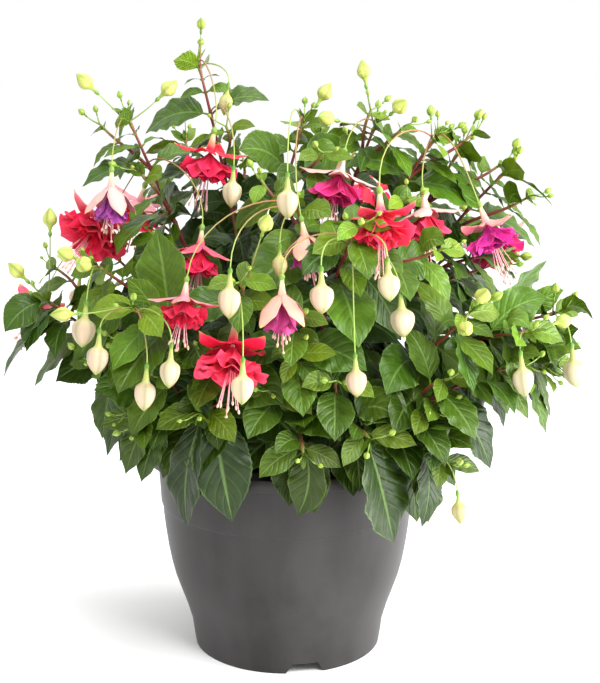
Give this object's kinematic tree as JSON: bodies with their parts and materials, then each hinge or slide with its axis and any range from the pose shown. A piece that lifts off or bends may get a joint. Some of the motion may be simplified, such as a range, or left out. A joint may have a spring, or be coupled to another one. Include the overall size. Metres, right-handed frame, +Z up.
{
  "type": "potted fuchsia plant",
  "caption": "Bushy double-flowered fuchsia in a round moulded pot, with red and pink hanging blooms, pale buds and toothed green leaves.",
  "frame": {"origin": "centre of the pot's foot, on the ground", "axes": "+Z up along the pot's axis, -Y towards the plant's show side, +X to the right of that side"},
  "size_m": [0.491, 0.4362, 0.5447],
  "materials": {
    "pot": "moulded, matt with a soft sheen",
    "compost": "loose, dark and matt",
    "foliage": "soft leaf, satin",
    "sepals": "waxy petal, satin",
    "petals": "soft petal, velvety"
  },
  "bodies": {
    "root": {"pot": "pot", "soil": "compost", "stem_01": "foliage", "stem_02": "foliage", "stem_03": "foliage", "stem_04": "foliage", "stem_05": "foliage", "stem_06": "foliage", "stem_07": "foliage", "stem_08": "foliage", "stem_09": "foliage", "stem_10": "foliage", "stem_11": "foliage", "stem_12": "foliage", "stem_13": "foliage", "stem_14": "foliage", "stem_15": "foliage", "stem_16": "foliage", "stem_17": "foliage", "stem_18": "foliage", "stem_19": "foliage", "stem_20": "foliage", "stem_21": "foliage", "stem_22": "foliage", "bloom_01_sepals": "sepals", "bloom_01_corolla": "petals", "bloom_02_sepals": "sepals", "bloom_02_corolla": "petals", "bloom_03_sepals": "sepals", "bloom_03_corolla": "petals", "bloom_04_sepals": "sepals", "bloom_04_corolla": "petals", "bloom_05_sepals": "sepals", "bloom_05_corolla": "petals", "bloom_06_sepals": "sepals", "bloom_06_corolla": "petals", "bloom_07_sepals": "sepals", "bloom_07_corolla": "petals", "bloom_08_sepals": "sepals", "bloom_08_corolla": "petals", "bloom_09_sepals": "sepals", "bloom_09_corolla": "petals", "bloom_10_sepals": "sepals", "bloom_10_corolla": "petals", "bloom_11_sepals": "sepals", "bloom_11_corolla": "petals", "bloom_12_sepals": "sepals", "bloom_12_corolla": "petals", "bloom_13_sepals": "sepals", "bloom_13_corolla": "petals", "bloom_14_sepals": "sepals", "bloom_14_corolla": "petals", "bloom_15_sepals": "sepals", "bloom_15_corolla": "petals", "bloom_16_sepals": "sepals", "bloom_16_corolla": "petals", "bloom_17_sepals": "sepals", "bloom_17_corolla": "petals"}
  },
  "joints": []
}
